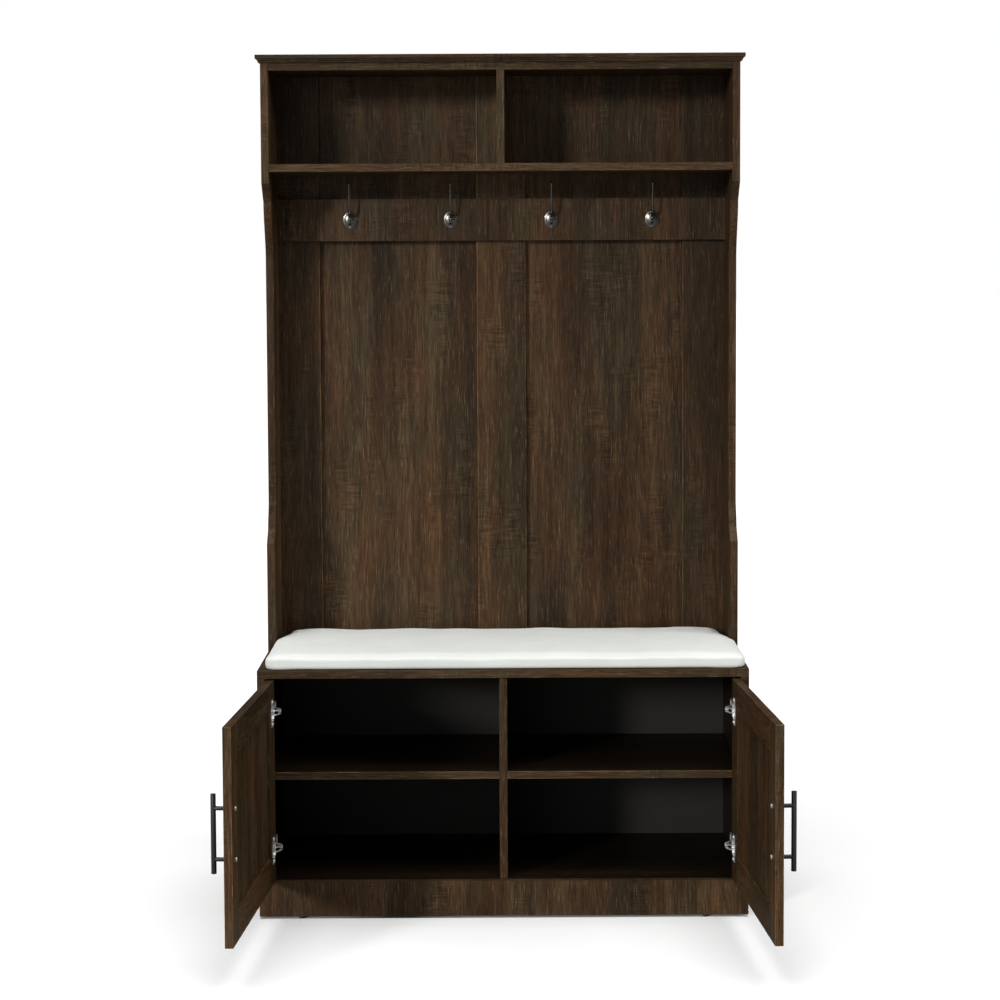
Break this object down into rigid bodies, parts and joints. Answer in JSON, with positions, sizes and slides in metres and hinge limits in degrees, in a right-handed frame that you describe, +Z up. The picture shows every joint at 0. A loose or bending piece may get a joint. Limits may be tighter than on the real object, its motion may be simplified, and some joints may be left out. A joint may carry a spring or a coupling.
{
  "type": "hall tree",
  "caption": "Hall tree: a bench with inset doors and a loose seat cushion under a framed back with a rail of coat hooks and open cubbies.",
  "frame": {"origin": "on the floor at the centre of the bench footprint, on the underside of the middle glide", "axes": "+Z up, +X to the right as seen from the front, +Y from the front towards the wall; stored with both doors open"},
  "size_m": [1.0856, 0.8853, 1.77],
  "materials": {
    "wood_laminate": "satin dark oak laminate with visible grain and fine saw marks",
    "back_sheet": "thin dark printed hardboard",
    "hook_metal": "dark antique nickel, glossy",
    "bright_nickel": "bright nickel plate",
    "black_metal": "satin black",
    "glide_plastic": "matt black",
    "zinc": "cast zinc",
    "dowel_wood": "raw beech",
    "cushion_fabric": "off-white woven cover"
  },
  "bodies": {
    "cabinet": {"left_side_panel": "wood_laminate", "right_side_panel": "wood_laminate", "bottom_panel": "wood_laminate", "front_plinth": "wood_laminate", "rear_plinth": "wood_laminate", "center_plinth": "wood_laminate", "seat_board": "wood_laminate", "center_divider": "wood_laminate", "left_shelf": "wood_laminate", "right_shelf": "wood_laminate", "base_back_panel": "back_sheet", "upper_left_side": "wood_laminate", "upper_right_side": "wood_laminate", "top_cap": "wood_laminate", "sub_top": "wood_laminate", "cubby_shelf": "wood_laminate", "cubby_divider": "wood_laminate", "back_stile_left": "wood_laminate", "back_stile_center": "wood_laminate", "back_stile_right": "wood_laminate", "back_panel_left": "wood_laminate", "back_panel_right": "wood_laminate", "hook_rail": "wood_laminate", "hook_1": "hook_metal", "hook_2": "hook_metal", "hook_3": "hook_metal", "hook_4": "hook_metal", "hook_screws": "hook_metal", "hinge_arms": "bright_nickel", "hinge_plates": "bright_nickel", "hinge_plate_screws": "bright_nickel", "floor_glides": "glide_plastic", "cam_locks": "zinc", "cam_bolts": "zinc", "wood_dowels": "dowel_wood", "shelf_pins": "bright_nickel"},
    "cushion": {"cushion": "cushion_fabric"},
    "left_door": {"left_door_hinge_stile": "wood_laminate", "left_door_pull_stile": "wood_laminate", "left_door_top_rail": "wood_laminate", "left_door_bottom_rail": "wood_laminate", "left_door_panel": "wood_laminate", "left_hinge_cups": "bright_nickel", "left_hinge_links": "bright_nickel", "left_hinge_cup_screws": "bright_nickel", "left_handle_bar": "black_metal", "left_handle_posts": "black_metal", "left_handle_screws": "bright_nickel"},
    "right_door": {"right_door_hinge_stile": "wood_laminate", "right_door_pull_stile": "wood_laminate", "right_door_top_rail": "wood_laminate", "right_door_bottom_rail": "wood_laminate", "right_door_panel": "wood_laminate", "right_hinge_cups": "bright_nickel", "right_hinge_links": "bright_nickel", "right_hinge_cup_screws": "bright_nickel", "right_handle_bar": "black_metal", "right_handle_posts": "black_metal", "right_handle_screws": "bright_nickel"}
  },
  "joints": [
    {"name": "left_door_swing", "type": "hinge", "parent": "cabinet", "child": "left_door", "pos_m": [-0.4795, -0.2025, 0.286], "axis": [0, 0, 1], "range_deg": [-6, 94]},
    {"name": "right_door_swing", "type": "hinge", "parent": "cabinet", "child": "right_door", "pos_m": [0.4795, -0.2025, 0.286], "axis": [0, 0, 1], "range_deg": [-94, 6]},
    {"name": "cushion_lift", "type": "slide", "parent": "cabinet", "child": "cushion", "axis": [0, 0, 1], "range_m": [0, 0.12]}
  ]
}
